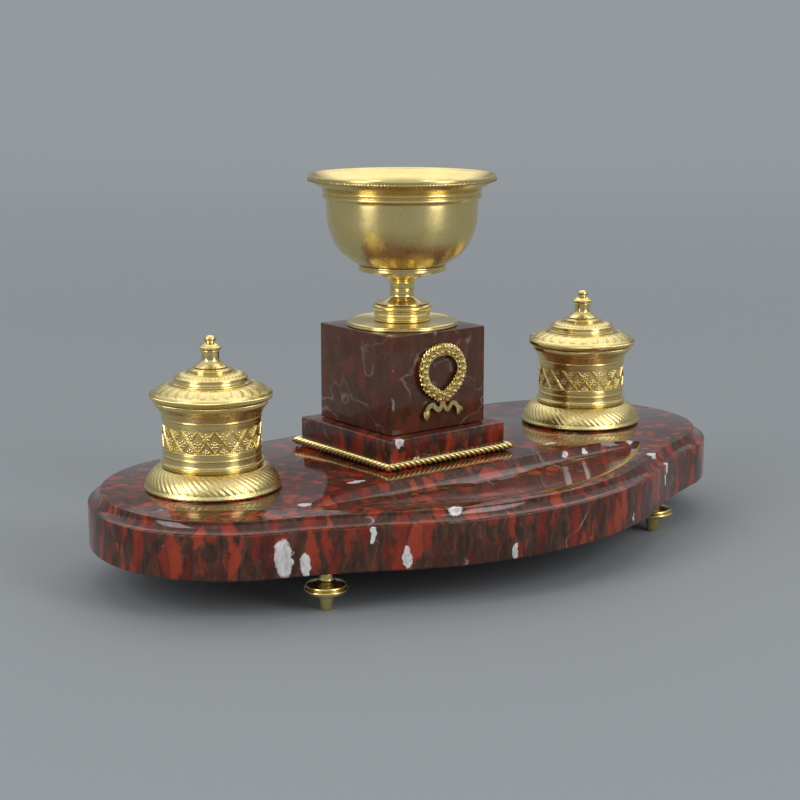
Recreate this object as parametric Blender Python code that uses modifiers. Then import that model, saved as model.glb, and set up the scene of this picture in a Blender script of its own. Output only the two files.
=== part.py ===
"""Desk inkstand in red marble and gilt bronze.

A bow-fronted marble base on four turned feet carries a square plinth with a footed cup,
and one round inkwell with a hinged lid on either side.  A pen tray is scooped along the front.

Lengths are metres.  +Z is up, +X runs along the base, and the front faces -Y.
The origin lies on the surface that the feet stand on, under the middle of the base's box.
"""
import math

import bmesh
import bpy
from mathutils import Vector

MM = 0.001
GAP = 0.3 * MM               # air left between pieces that rest on each other

# ---------------------------------------------------------------- driving dimensions
BASE_HALF_LENGTH = 178.0 * MM
BASE_HALF_DEPTH = 91.85 * MM
BASE_UNDERSIDE_Z = 19.4 * MM
BASE_TOP_Z = 45.0 * MM
COVE_WIDTH = 5.7 * MM        # concave moulding round the top edge
COVE_HEIGHT = 5.2 * MM
BOW_RADIUS = 168.6 * MM      # swelling front
BOW_ANGLE = math.radians(29.7)
FLANK_ANGLE = math.radians(19.1)
END_RADIUS = 66.6 * MM       # front corner of each end

TRAY_HALF_LENGTH = 105.0 * MM
TRAY_BACK_Y = -23.2 * MM
TRAY_FRONT_Y = -79.6 * MM
TRAY_TIP_Y = -35.2 * MM
TRAY_DEPTH = 6.0 * MM

PLINTH_Y = 30.85 * MM        # the plinth and cup stand behind the base's middle
STEP_HALF = 37.0 * MM
STEP_TOP_Z = 59.8 * MM
BLOCK_HALF = 29.5 * MM
BLOCK_TOP_Z = 108.8 * MM
ROPE_RADIUS = 1.6 * MM

WELL_X = 118.3 * MM
WELL_Y = 23.25 * MM
WELL_SEAT = 42.5 * MM        # joint between inkwell and lid, above the base's top
LID_RIM_RADIUS = 28.4 * MM
BODY_RIM_RADIUS = 26.3 * MM

HINGE_RADIUS = 2.0 * MM      # knuckles
HINGE_PIN_RADIUS = 0.8 * MM
HINGE_HALF_LENGTH = 8.4 * MM
HINGE_CENTRE_HALF = 3.6 * MM

FOOT_X = 104.2 * MM
FOOT_FRONT_Y = -46.8 * MM
FOOT_BACK_Y = 66.0 * MM
FOOT_STUD_RADIUS = 2.0 * MM
FOOT_STUD_LENGTH = 10.0 * MM

ROD_RADIUS = 2.4 * MM        # tie rod and inkwell bolts
ROD_HOLE_RADIUS = 2.8 * MM
WASHER_RADIUS = 7.0 * MM
WASHER_THICKNESS = 1.2 * MM
NUT_ACROSS_CORNERS = 11.0 * MM
NUT_HEIGHT = 4.0 * MM
ROD_BELOW_NUT = 1.6 * MM

FINE_STEPS = 32              # facets round the cup
ROUND_STEPS = 24             # facets round an inkwell
SMALL_STEPS = 12             # facets round small turned pieces

INKSTAND = bpy.data.collections.new("inkstand")
CUTTERS = bpy.data.collections.new("cutters")


# ---------------------------------------------------------------- helpers
def material(name, colour, roughness, metallic=0.0):
    """One Principled material."""
    made = bpy.data.materials.new(name)
    made.use_nodes = True
    shader = made.node_tree.nodes["Principled BSDF"]
    shader.inputs["Base Color"].default_value = (*colour, 1.0)
    shader.inputs["Roughness"].default_value = roughness
    shader.inputs["Metallic"].default_value = metallic
    return made


def add_object(name, mesh, finish, parent=None):
    """Put a mesh in the inkstand as one named piece."""
    piece = bpy.data.objects.new(name, mesh)
    INKSTAND.objects.link(piece)
    if finish:
        mesh.materials.append(finish)
    if parent:
        piece.parent = parent
    return piece


def place(piece, at):
    """Put a piece at a place in the world, whether or not it hangs on an empty."""
    origin = piece.parent.location if piece.parent else Vector((0.0, 0.0, 0.0))
    piece.location = Vector(at) - origin


def make_cutter(piece):
    """Turn a piece into a hidden guide that only cuts or joins."""
    INKSTAND.objects.unlink(piece)
    CUTTERS.objects.link(piece)
    piece.hide_render = True
    piece.display_type = 'WIRE'
    return piece


def combine(piece, other, operation):
    """Cut another solid out of a piece, or join it on."""
    step = piece.modifiers.new(operation.lower(), 'BOOLEAN')
    step.operation = operation
    step.solver = 'EXACT'
    step.object = make_cutter(other)


def smooth(mesh, angle=30.0):
    mesh.shade_smooth()
    mesh.set_sharp_from_angle(angle=math.radians(angle))


def turned(name, profile, at, finish, steps=ROUND_STEPS, ring=False, parent=None):
    """A lathe-turned piece: (radius, height) in mm, down the outer side from top to bottom.

    A solid piece's profile starts and ends on the axis.  A ring's profile closes on itself.
    """
    count = len(profile)
    points = [(radius * MM, 0.0, height * MM) for radius, height in profile]
    edges = [(i, i + 1) for i in range(count - 1)]
    if ring:
        edges.append((count - 1, 0))
    mesh = bpy.data.meshes.new(name)
    mesh.from_pydata(points, edges, [])
    piece = add_object(name, mesh, finish, parent)
    place(piece, at)
    screw = piece.modifiers.new("turn", 'SCREW')
    screw.steps = steps
    screw.render_steps = steps
    screw.use_merge_vertices = True
    screw.merge_threshold = 0.00001
    screw.use_smooth_shade = True
    return piece


def box(name, low, high, finish, bevel=0.0):
    """A block between two corners, with its edges taken off if a bevel is given."""
    low, high = Vector(low), Vector(high)
    mesh = bpy.data.meshes.new(name)
    bm = bmesh.new()
    bmesh.ops.create_cube(bm, size=1.0)
    bmesh.ops.scale(bm, vec=high - low, verts=bm.verts)
    bm.to_mesh(mesh)
    bm.free()
    piece = add_object(name, mesh, finish)
    place(piece, (low + high) / 2)
    if bevel:
        edge = piece.modifiers.new("edges", 'BEVEL')
        edge.width = bevel
        edge.segments = 2
        edge.limit_method = 'ANGLE'
    return piece


def rod(name, radius, start, end, finish, sides=SMALL_STEPS, parent=None):
    """A round bar between two points on a line along X, Y or Z."""
    start, end = Vector(start), Vector(end)
    along = end - start
    mesh = bpy.data.meshes.new(name)
    bm = bmesh.new()
    bmesh.ops.create_cone(bm, cap_ends=True, segments=sides, radius1=radius, radius2=radius,
                          depth=along.length)
    turn = along.to_track_quat('Z', 'Y').to_matrix()
    bmesh.ops.rotate(bm, cent=(0.0, 0.0, 0.0), matrix=turn, verts=bm.verts)
    bm.to_mesh(mesh)
    bm.free()
    smooth(mesh)
    piece = add_object(name, mesh, finish, parent)
    place(piece, (start + end) / 2)
    return piece


def loft(name, sections, finish, closed=False):
    """Skin a list of equal-length closed sections; the ends are capped unless it closes."""
    mesh = bpy.data.meshes.new(name)
    bm = bmesh.new()
    rings = [[bm.verts.new(point) for point in section] for section in sections]
    count = len(rings[0])
    pairs = list(zip(rings, rings[1:]))
    if closed:
        pairs.append((rings[-1], rings[0]))
    for lower, upper in pairs:
        for i in range(count):
            j = (i + 1) % count
            bm.faces.new((lower[i], lower[j], upper[j], upper[i]))
    if not closed:
        bm.faces.new(list(reversed(rings[0])))
        bm.faces.new(rings[-1])
    bmesh.ops.recalc_face_normals(bm, faces=bm.faces)
    bm.to_mesh(mesh)
    bm.free()
    smooth(mesh)
    return add_object(name, mesh, finish)


# ---------------------------------------------------------------- marble base
def base_arcs():
    """Centre, radius and turn of each arc of the right half's outline, front to back."""
    bow = Vector((0.0, BOW_RADIUS - BASE_HALF_DEPTH))
    bow_end = bow + BOW_RADIUS * Vector((math.sin(BOW_ANGLE), -math.cos(BOW_ANGLE)))
    corner = Vector((BASE_HALF_LENGTH - END_RADIUS, 0.0))
    reach = corner.x + END_RADIUS * math.sin(FLANK_ANGLE) - bow_end.x
    flank_radius = reach / (math.sin(BOW_ANGLE) - math.sin(FLANK_ANGLE))
    flank = bow_end + flank_radius * Vector((math.sin(BOW_ANGLE), -math.cos(BOW_ANGLE)))
    flank_end = flank - flank_radius * Vector((math.sin(FLANK_ANGLE), -math.cos(FLANK_ANGLE)))
    corner.y = flank_end.y + END_RADIUS * math.cos(FLANK_ANGLE)
    back_radius = BASE_HALF_DEPTH - corner.y
    back = Vector((BASE_HALF_LENGTH - back_radius, corner.y))
    return [
        (bow, BOW_RADIUS, 0.0, BOW_ANGLE, 8),
        (flank, -flank_radius, BOW_ANGLE, FLANK_ANGLE, 3),
        (corner, END_RADIUS, FLANK_ANGLE, math.pi / 2, 8),
        (back, back_radius, math.pi / 2, math.pi, 9),
    ]


def base_outline(inset, height):
    """The base's closed outline, moved inwards by an inset, at one height."""
    half = [Vector((0.0, inset - BASE_HALF_DEPTH))]
    for centre, radius, start, end, count in base_arcs():
        for i in range(1, count + 1):
            turn = start + (end - start) * i / count
            half.append(centre + (radius - inset) * Vector((math.sin(turn), -math.cos(turn))))
    other_half = [Vector((-point.x, point.y)) for point in reversed(half[1:])]
    return [Vector((point.x, point.y, height)) for point in half + other_half]


def tray_section(along):
    """One cross-section of the pen tray's cutter; along runs from -1 to 1 over its length."""
    x = TRAY_HALF_LENGTH * along
    drop = (TRAY_TIP_Y - TRAY_BACK_Y)
    back_y = TRAY_BACK_Y + drop * abs(along) ** 10
    rise = TRAY_TIP_Y - TRAY_FRONT_Y
    radius = (TRAY_HALF_LENGTH ** 2 + rise ** 2) / (2 * rise)
    front_y = TRAY_FRONT_Y + radius - math.sqrt(radius ** 2 - x ** 2)
    depth = TRAY_DEPTH * math.sqrt(max(1 - along ** 4, 0.0004))
    width = back_y - front_y
    if width < 0.4 * MM:
        front_y = back_y - 0.4 * MM
        width = back_y - front_y
    floor = []
    for share, deep in ((0.0, 0.0), (0.03, 0.42), (0.08, 0.72), (0.15, 0.92), (0.24, 1.0),
                        (0.42, 0.93), (0.62, 0.70), (0.82, 0.36), (1.0, 0.0)):
        floor.append(Vector((x, back_y - share * width, BASE_TOP_Z - deep * depth)))
    above = 4.0 * MM
    floor.append(Vector((x, front_y, BASE_TOP_Z + above)))
    floor.append(Vector((x, back_y, BASE_TOP_Z + above)))
    return floor


def marble_base(marble):
    """Bow-fronted slab with a cove round its top edge, a pen tray and drilled fixing holes."""
    chamfer = 0.7 * MM
    rings = [base_outline(chamfer, BASE_UNDERSIDE_Z), base_outline(0.0, BASE_UNDERSIDE_Z + chamfer)]
    cove_steps = 5
    for i in range(cove_steps + 1):
        turn = math.pi / 2 * i / cove_steps
        rings.append(base_outline(COVE_WIDTH * math.sin(turn),
                                  BASE_TOP_Z - COVE_HEIGHT * math.cos(turn)))
    base = loft("marble_base", rings, marble)
    stations = 22
    turns = [-math.pi / 2 + math.pi * i / stations for i in range(stations + 1)]
    tray = loft("tray_cutter", [tray_section(math.sin(turn)) for turn in turns], None)
    combine(base, tray, 'DIFFERENCE')
    above, below = BASE_TOP_Z + 5 * MM, BASE_UNDERSIDE_Z - 5 * MM
    for name, x, y in (("rod_hole", 0.0, PLINTH_Y), ("bolt_hole_left", -WELL_X, WELL_Y),
                       ("bolt_hole_right", WELL_X, WELL_Y)):
        combine(base, rod(name, ROD_HOLE_RADIUS, (x, y, below), (x, y, above), None), 'DIFFERENCE')
    for name, x, y in foot_places():
        top = BASE_UNDERSIDE_Z + FOOT_STUD_LENGTH + 1.0 * MM
        hole = rod("hole_" + name, FOOT_STUD_RADIUS + GAP, (x, y, below), (x, y, top), None)
        combine(base, hole, 'DIFFERENCE')


# ---------------------------------------------------------------- feet
def foot_places():
    """Name, x and y of each foot."""
    return [("foot_front_left", -FOOT_X, FOOT_FRONT_Y), ("foot_front_right", FOOT_X, FOOT_FRONT_Y),
            ("foot_back_left", -FOOT_X, FOOT_BACK_Y), ("foot_back_right", FOOT_X, FOOT_BACK_Y)]


def feet(bronze):
    """Turned toes: a tapered tip, a twice-beaded dish, a neck, and a stud up into the marble."""
    shoulder = (BASE_UNDERSIDE_Z - GAP) / MM
    stud = FOOT_STUD_RADIUS / MM
    stud_top = (BASE_UNDERSIDE_Z + FOOT_STUD_LENGTH) / MM
    profile = [(0.0, stud_top), (stud, stud_top), (stud, shoulder), (4.2, shoulder),
               (3.7, 17.6), (3.6, 14.2), (5.2, 12.9), (8.6, 12.2), (9.0, 11.4), (8.8, 10.7),
               (10.0, 9.9), (9.9, 9.0), (8.2, 7.9), (4.0, 6.9), (2.8, 0.0), (0.0, 0.0)]
    for name, x, y in foot_places():
        turned(name, profile, (x, y, 0.0), bronze, steps=SMALL_STEPS)


# ---------------------------------------------------------------- plinth
def plinth(marble, bronze):
    """Square marble step and block, drilled for the tie rod, with a rope border round the step."""
    step = box("plinth_step", (-STEP_HALF, PLINTH_Y - STEP_HALF, BASE_TOP_Z + GAP),
               (STEP_HALF, PLINTH_Y + STEP_HALF, STEP_TOP_Z), marble, bevel=0.9 * MM)
    block = box("plinth_block", (-BLOCK_HALF, PLINTH_Y - BLOCK_HALF, STEP_TOP_Z + GAP),
                (BLOCK_HALF, PLINTH_Y + BLOCK_HALF, BLOCK_TOP_Z), marble)
    for name, piece in (("step_hole", step), ("block_hole", block)):
        hole = rod(name, ROD_HOLE_RADIUS, (0.0, PLINTH_Y, BASE_TOP_Z - 5 * MM),
                   (0.0, PLINTH_Y, BLOCK_TOP_Z + 5 * MM), None)
        combine(piece, hole, 'DIFFERENCE')
    rope_border(bronze)
    return block


def rope_border(bronze):
    """Four mitred lengths of round moulding laid along the foot of the step."""
    out = STEP_HALF + GAP + ROPE_RADIUS
    height = BASE_TOP_Z + GAP + ROPE_RADIUS
    for index, name in enumerate(("front", "right", "back", "left")):
        length = rod("rope_border_" + name, ROPE_RADIUS, (-out, -out, height), (out, -out, height),
                     bronze, sides=10)
        for vertex in length.data.vertices:
            outward = -vertex.co.y
            reach = out + outward - GAP / 2
            vertex.co.x = math.copysign(reach, vertex.co.x)
        length.rotation_euler.z = index * math.pi / 2
        turn = length.rotation_euler.to_matrix()
        place(length, turn @ Vector((0.0, -out, height)) + Vector((0.0, PLINTH_Y, 0.0)))


# ---------------------------------------------------------------- laurel wreath
WREATH_BACK_Y = PLINTH_Y - BLOCK_HALF - GAP
WREATH_X = 0.5 * MM
WREATH_Z = 88.3 * MM
WREATH_HALF_WIDTH = 12.2 * MM      # to the middle of the ring
WREATH_HALF_HEIGHT = 11.6 * MM
WREATH_BAND = 3.1 * MM             # half the band's width
WREATH_RELIEF = 3.2 * MM
WREATH_LEAVES = 20


def wreath_section(turn):
    """The band's flat-backed, domed section at one angle, swelling at each leaf."""
    leaf = abs(math.sin(turn * WREATH_LEAVES / 2))
    half = WREATH_BAND * (0.86 + 0.22 * leaf)
    relief = WREATH_RELIEF * (0.78 + 0.22 * leaf)
    outward = Vector((math.sin(turn), math.cos(turn)))
    middle = Vector((WREATH_X + WREATH_HALF_WIDTH * outward.x,
                     WREATH_Z + WREATH_HALF_HEIGHT * outward.y))
    section = []
    for across, proud in ((-1.0, 0.0), (-0.95, 0.45), (-0.5, 0.9), (0.0, 1.0), (0.5, 0.9),
                          (0.95, 0.45), (1.0, 0.0)):
        point = middle + outward * half * across
        section.append(Vector((point.x, WREATH_BACK_Y - relief * proud, point.y)))
    return section


def ribbon(name, points, width, thick):
    """A strip of ribbon through (x, z) points in mm, lying on the plinth's face."""
    front_y = WREATH_BACK_Y - thick
    path = [Vector((WREATH_X + x * MM, z * MM)) for x, z in points]
    sections = []
    for i, point in enumerate(path):
        ahead = path[min(i + 1, len(path) - 1)] - path[max(i - 1, 0)]
        side = Vector((-ahead.y, ahead.x)).normalized() * width / 2
        a, b = point - side, point + side
        sections.append([Vector((a.x, WREATH_BACK_Y, a.y)), Vector((a.x, front_y, a.y)),
                         Vector((b.x, front_y, b.y)), Vector((b.x, WREATH_BACK_Y, b.y))])
    return loft(name, sections, None)


def laurel_wreath(bronze, block):
    """Cast wreath tied with a ribbon, held on the plinth's front by two pins."""
    count = WREATH_LEAVES * 4
    wreath = loft("laurel_wreath", [wreath_section(2 * math.pi * i / count) for i in range(count)],
                  bronze, closed=True)
    thick = 1.6 * MM
    tail = [(0.8, 74.2), (4.2, 72.0), (6.6, 70.0), (9.0, 70.8), (11.4, 69.4)]
    right = ribbon("ribbon_right", tail, 2.6 * MM, thick)
    left = ribbon("ribbon_left", [(-x, z - 0.12 * x) for x, z in tail], 2.6 * MM, thick)
    knot = box("ribbon_knot", (WREATH_X - 2.4 * MM, WREATH_BACK_Y - 2.6 * MM, 72.0 * MM),
               (WREATH_X + 2.4 * MM, WREATH_BACK_Y, 76.2 * MM), None)
    for piece in (right, left, knot):
        combine(wreath, piece, 'UNION')
    pin_length = 7.0 * MM
    for name, z in (("upper", WREATH_Z + WREATH_HALF_HEIGHT), ("lower", 74.0 * MM)):
        x, y = WREATH_X, PLINTH_Y - BLOCK_HALF
        rod("wreath_pin_" + name, 0.9 * MM, (x, y, z), (x, y + pin_length, z), bronze, sides=10)
        hole = rod("hole_wreath_pin_" + name, 1.2 * MM, (x, y - 2 * MM, z),
                   (x, y + pin_length + GAP, z), None, sides=10)
        combine(block, hole, 'DIFFERENCE')


# ---------------------------------------------------------------- cup
def cup(bronze, steel):
    """Footed cup in five turned pieces, clamped down through the plinth by one tie rod."""
    at = (0.0, PLINTH_Y, 0.0)
    bore = 3.0
    turned("cup_base_plate", [(27.4, 111.2), (28.0, 110.8), (28.0, 109.1), (bore, 109.1),
                              (bore, 111.2)], at, bronze, FINE_STEPS, ring=True)
    turned("cup_knop", [(13.9, 119.6), (14.8, 119.0), (15.2, 118.0), (14.9, 116.8), (14.2, 115.9),
                        (14.2, 111.5), (bore, 111.5), (bore, 119.6)],
           at, bronze, FINE_STEPS, ring=True)
    turned("cup_stem", [(10.8, 136.0), (10.8, 133.8), (9.3, 132.8), (7.2, 131.4), (6.4, 130.4),
                        (6.1, 128.4), (6.3, 127.0), (6.0, 125.0), (6.3, 123.3), (8.4, 121.8),
                        (11.0, 120.9), (13.6, 120.3), (13.6, 119.9), (bore, 119.9),
                        (bore, 136.0)],
           at, bronze, 20, ring=True)
    turned("cup_collar", [(21.6, 139.3), (22.1, 138.9), (22.1, 136.7), (21.5, 136.3),
                          (bore, 136.3), (bore, 139.3)], at, bronze, FINE_STEPS, ring=True)
    bowl = [(46.6, 184.2), (47.1, 183.6), (47.1, 182.4), (45.4, 181.2), (41.6, 178.6),
            (39.2, 177.2), (39.2, 176.2), (39.9, 175.4), (39.9, 173.0), (38.2, 172.2),
            (37.9, 168.4), (37.4, 161.2), (36.4, 156.6), (34.1, 150.8), (30.6, 145.7),
            (25.9, 142.0), (22.4, 139.6), (bore, 139.6), (bore, 142.1), (20.4, 142.1),
            (25.0, 144.1), (29.2, 147.4), (32.5, 151.8), (34.8, 157.4), (35.8, 161.8),
            (36.5, 169.2), (37.2, 177.2), (41.4, 180.6), (45.4, 183.4)]
    turned("cup_bowl", bowl, at, bronze, FINE_STEPS, ring=True)
    rod_top = 147.3
    thread = ROD_RADIUS / MM + 0.3
    turned("cup_cap_nut", [(0.0, 149.5), (2.8, 149.1), (4.6, 147.8), (5.4, 145.9), (5.4, 143.5),
                           (6.6, 143.3), (6.6, 142.4), (thread, 142.4), (thread, rod_top + 0.3),
                           (0.0, rod_top + 0.3)], at, bronze, SMALL_STEPS)
    clamp_below("cup", 0.0, PLINTH_Y, steel)
    rod("cup_tie_rod", ROD_RADIUS, (0.0, PLINTH_Y, clamp_end()), (0.0, PLINTH_Y, rod_top * MM),
        steel)


def clamp_end():
    """Height of the lower end of a rod that is nutted under the base."""
    return BASE_UNDERSIDE_Z - 2 * GAP - WASHER_THICKNESS - NUT_HEIGHT - ROD_BELOW_NUT


def clamp_below(owner, x, y, steel, ending=""):
    """Washer and hexagon nut under the base, round a rod."""
    washer_top = BASE_UNDERSIDE_Z - GAP
    nut_top = washer_top - WASHER_THICKNESS - GAP
    bore = (ROD_RADIUS + GAP) / MM
    outer = WASHER_RADIUS / MM
    top, bottom = washer_top / MM, (washer_top - WASHER_THICKNESS) / MM
    turned(owner + "_washer" + ending, [(outer, top), (outer, bottom), (bore, bottom), (bore, top)],
           (x, y, 0.0), steel, SMALL_STEPS, ring=True)
    nut = rod(owner + "_nut" + ending, NUT_ACROSS_CORNERS / 2, (x, y, nut_top - NUT_HEIGHT),
              (x, y, nut_top), steel, sides=6)
    hole = rod(owner + "_nut_bore" + ending, ROD_RADIUS + GAP, (x, y, nut_top - 2 * NUT_HEIGHT),
               (x, y, nut_top + NUT_HEIGHT), None, sides=12)
    combine(nut, hole, 'DIFFERENCE')


# ---------------------------------------------------------------- inkwells
def inkwell(side, x, bronze, porcelain, steel):
    """Bell foot, drum, porcelain liner, and a domed lid on a three-knuckle hinge at the back."""
    def named(name):
        return name + "_" + side

    at = (x, WELL_Y, BASE_TOP_Z)
    bore = 2.9
    turned(named("inkwell_foot"),
           [(24.7, 10.8), (25.4, 10.4), (27.5, 9.0), (29.6, 6.6), (30.8, 4.3), (31.3, 2.6),
            (31.9, 1.8), (32.1, 1.1), (31.7, 0.3), (bore, 0.3), (bore, 10.8)],
           at, bronze, ring=True)
    turned(named("inkwell_body"),
           [(25.7, 42.2), (26.3, 41.6), (26.3, 39.8), (25.4, 39.0), (24.0, 36.4), (23.3, 34.4),
            (22.9, 33.6), (22.9, 31.1), (22.5, 30.9), (22.5, 20.4), (23.2, 20.0), (23.2, 13.6),
            (24.3, 13.0), (24.3, 12.3), (23.8, 11.1), (bore, 11.1), (bore, 13.2), (7.0, 13.2),
            (7.0, 16.0), (20.3, 16.0), (20.3, 42.2)],
           at, bronze, ring=True)
    turned(named("ink_liner"),
           [(0.0, 19.0), (14.6, 19.0), (16.8, 20.8), (16.8, 39.7), (19.6, 39.7), (19.6, 17.2),
            (18.6, 16.3), (0.0, 16.3)],
           at, porcelain)
    head = [(0.0, 15.8), (4.6, 15.6), (5.8, 14.6), (5.8, 13.5), (ROD_RADIUS / MM, 13.5)]
    tip = (clamp_end() - BASE_TOP_Z) / MM
    turned(named("inkwell_bolt"), head + [(ROD_RADIUS / MM, tip), (0.0, tip)], at, steel,
           SMALL_STEPS)
    clamp_below("inkwell", x, WELL_Y, steel, "_" + side)
    hinge(side, x, bronze, steel)


def lid_profile():
    """The lid's outer side from the finial's hole to the rim, then its hollow underside."""
    seat = WELL_SEAT / MM
    rim = LID_RIM_RADIUS / MM
    outside = [(10.0, 56.6), (10.4, 56.1), (10.4, 54.9), (13.6, 54.0), (16.6, 52.9), (17.4, 52.3),
               (17.4, 50.5), (20.4, 48.9), (23.6, 47.2), (26.2, 45.9), (rim - 0.3, 45.0),
               (rim, 44.4), (rim, 43.1), (rim - 0.3, seat)]
    inside = [(19.8, seat), (19.8, 40.7), (18.4, 40.7), (18.4, 46.4), (15.4, 49.2), (9.0, 52.4),
              (2.9, 53.4), (2.9, 56.6)]
    return outside + inside


def hinge(side, x, bronze, steel):
    """The lid and its hinge: two knuckles on a bracket, one on the lid, and their pin."""
    def named(name):
        return name + "_" + side

    axis = Vector((x, WELL_Y + LID_RIM_RADIUS + GAP + HINGE_RADIUS, BASE_TOP_Z + WELL_SEAT))
    swing = bpy.data.objects.new(named("lid_axis"), None)
    INKSTAND.objects.link(swing)
    swing.location = axis
    at = (x, WELL_Y, BASE_TOP_Z)
    turned(named("inkwell_lid"), lid_profile(), at, bronze, ring=True, parent=swing)
    turned(named("lid_finial"),
           [(0.0, 71.6), (1.6, 71.2), (2.8, 69.9), (2.0, 68.4), (2.4, 67.6), (4.4, 66.8),
            (5.7, 66.0), (4.6, 65.0), (4.2, 63.6), (4.2, 60.2), (5.6, 58.8), (7.7, 57.5),
            (7.8, 56.9), (2.5, 56.9), (2.5, 51.6), (0.0, 51.6)],
           at, bronze, SMALL_STEPS, parent=swing)

    bore = HINGE_PIN_RADIUS + GAP
    half, centre_half = HINGE_HALF_LENGTH, HINGE_CENTRE_HALF
    reach = half + 2 * MM

    def across(name, radius, start, end, finish, parent=None):
        return rod(name, radius, axis + Vector((start, 0, 0)), axis + Vector((end, 0, 0)),
                   finish, parent=parent)

    knuckle = across(named("lid_knuckle"), HINGE_RADIUS, -centre_half, centre_half, bronze, swing)
    web = box(named("knuckle_web"), axis + Vector((-centre_half, -HINGE_RADIUS, 0.2 * MM)),
              axis + Vector((centre_half, 0.0, HINGE_RADIUS)), None)
    combine(knuckle, web, 'UNION')
    combine(knuckle, across(named("knuckle_bore"), bore, -reach, reach, None), 'DIFFERENCE')

    plate_top = -HINGE_RADIUS - GAP
    plate_bottom = plate_top - 1.5 * MM
    inner = BODY_RIM_RADIUS - LID_RIM_RADIUS - HINGE_RADIUS
    bracket = box(named("hinge_bracket"), axis + Vector((-half, inner, plate_bottom)),
                  axis + Vector((half, HINGE_RADIUS * 0.8, plate_top)), bronze)
    gap_half = centre_half + GAP
    for end, low, high in (("a", -half, -gap_half), ("b", gap_half, half)):
        combine(bracket, box(named("cheek_" + end),
                             axis + Vector((low, -HINGE_RADIUS * 0.8, plate_bottom + 0.1 * MM)),
                             axis + Vector((high, HINGE_RADIUS * 0.8, 0.0)), None), 'UNION')
        combine(bracket, across(named("knuckle_" + end), HINGE_RADIUS, low, high, None), 'UNION')
    combine(bracket, across(named("bracket_bore"), bore, -reach, reach, None), 'DIFFERENCE')
    across(named("hinge_pin"), HINGE_PIN_RADIUS, -half - 0.5 * MM, half + 0.5 * MM, steel)


# ---------------------------------------------------------------- the whole inkstand
def build():
    for old in list(bpy.data.objects):
        bpy.data.objects.remove(old, do_unlink=True)
    bpy.context.scene.collection.children.link(INKSTAND)
    bpy.context.scene.collection.children.link(CUTTERS)
    marble = material("griotte_marble", (0.13, 0.035, 0.025), 0.12)
    bronze = material("gilt_bronze", (0.72, 0.50, 0.16), 0.28, metallic=1.0)
    porcelain = material("white_porcelain", (0.85, 0.84, 0.80), 0.15)
    steel = material("dark_steel", (0.30, 0.29, 0.28), 0.40, metallic=1.0)
    marble_base(marble)
    feet(bronze)
    block = plinth(marble, bronze)
    laurel_wreath(bronze, block)
    cup(bronze, steel)
    for side, x in (("left", -WELL_X), ("right", WELL_X)):
        inkwell(side, x, bronze, porcelain, steel)


build()
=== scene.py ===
# %% [markdown]
# # A desk inkstand in red marble and gilt bronze
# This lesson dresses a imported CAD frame.  The frame already knows every size and every hinge;
# here each visible piece is modelled again at full fineness and given the finish of the real one.
# The real object was made by three trades: a marble mason cut and polished the base, step and
# block, a bronze founder cast the ornaments, and a turner spun everything round on a lathe
# before it was gilded.  The cells follow those trades.

# %% The fixed frame
import math

import bpy
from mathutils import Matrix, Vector


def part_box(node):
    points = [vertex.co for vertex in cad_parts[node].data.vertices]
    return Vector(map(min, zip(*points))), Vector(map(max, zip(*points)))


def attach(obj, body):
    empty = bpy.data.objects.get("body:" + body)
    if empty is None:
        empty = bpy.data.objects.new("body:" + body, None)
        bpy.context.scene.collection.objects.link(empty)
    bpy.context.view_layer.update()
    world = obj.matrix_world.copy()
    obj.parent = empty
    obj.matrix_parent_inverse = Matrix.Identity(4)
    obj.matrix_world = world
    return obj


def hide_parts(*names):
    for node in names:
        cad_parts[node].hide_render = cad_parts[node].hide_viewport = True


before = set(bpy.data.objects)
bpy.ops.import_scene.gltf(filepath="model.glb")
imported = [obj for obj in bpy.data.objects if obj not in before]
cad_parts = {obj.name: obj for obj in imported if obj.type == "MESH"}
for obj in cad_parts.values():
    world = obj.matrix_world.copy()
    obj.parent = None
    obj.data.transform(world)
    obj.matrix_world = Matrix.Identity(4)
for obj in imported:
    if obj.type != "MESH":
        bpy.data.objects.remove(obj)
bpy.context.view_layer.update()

# %% [markdown]
# ## Units and places
# The frame is in metres and the makers think in millimetres, so lengths below are written in
# millimetres and multiplied by MM.  Places are read from the frame's own boxes: a piece that
# takes its place from the CAD can't drift away from it.

# %% Places read from the frame
MM = 0.001
BODY = "inkstand"


def middle(node):
    """The middle of a CAD node's box."""
    low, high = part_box(node)
    return (low + high) / 2


slab_low, slab_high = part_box("marble_base")
block_low, block_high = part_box("plinth_block")
step_low, step_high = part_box("plinth_step")
plinth_at = Vector((0.0, middle("plinth_block").y, 0.0))
well_at = {}
for side in ("left", "right"):
    spot = middle("inkwell_foot_" + side)
    well_at[side] = Vector((spot.x, spot.y, slab_high.z))
print("slab top", round(slab_high.z / MM, 2), "mm; wells at", well_at)

# %% [markdown]
# ## Colour and node helpers
# Colours are chosen as sRGB hex values, the way a screen shows them, but shaders work in
# linear light, so one function converts them.  One more adds any shader node with its
# settings and links, which keeps each material short enough to read as a recipe.

# %% Colours and nodes
def colour(hex_text):
    """Turn an sRGB hex colour into the linear values that a shader works in."""
    parts = [int(hex_text[i:i + 2], 16) / 255 for i in (1, 3, 5)]
    linear = [p / 12.92 if p <= 0.04045 else ((p + 0.055) / 1.055) ** 2.4 for p in parts]
    return (*linear, 1.0)


def feed(tree, node, inputs):
    """Set or link inputs: a value, a socket, or a node, which stands for its first output."""
    for key, value in inputs.items():
        if isinstance(value, bpy.types.Node):
            value = next(out for out in value.outputs if out.enabled)
        if isinstance(value, bpy.types.NodeSocket):
            tree.links.new(value, node.inputs[key])
        else:
            node.inputs[key].default_value = value


def add(tree, kind, inputs=None, **settings):
    """Add one shader node with its settings and links."""
    node = tree.nodes.new("ShaderNode" + kind)
    for key, value in settings.items():
        setattr(node, key, value)
    feed(tree, node, inputs or {})
    return node


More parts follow.
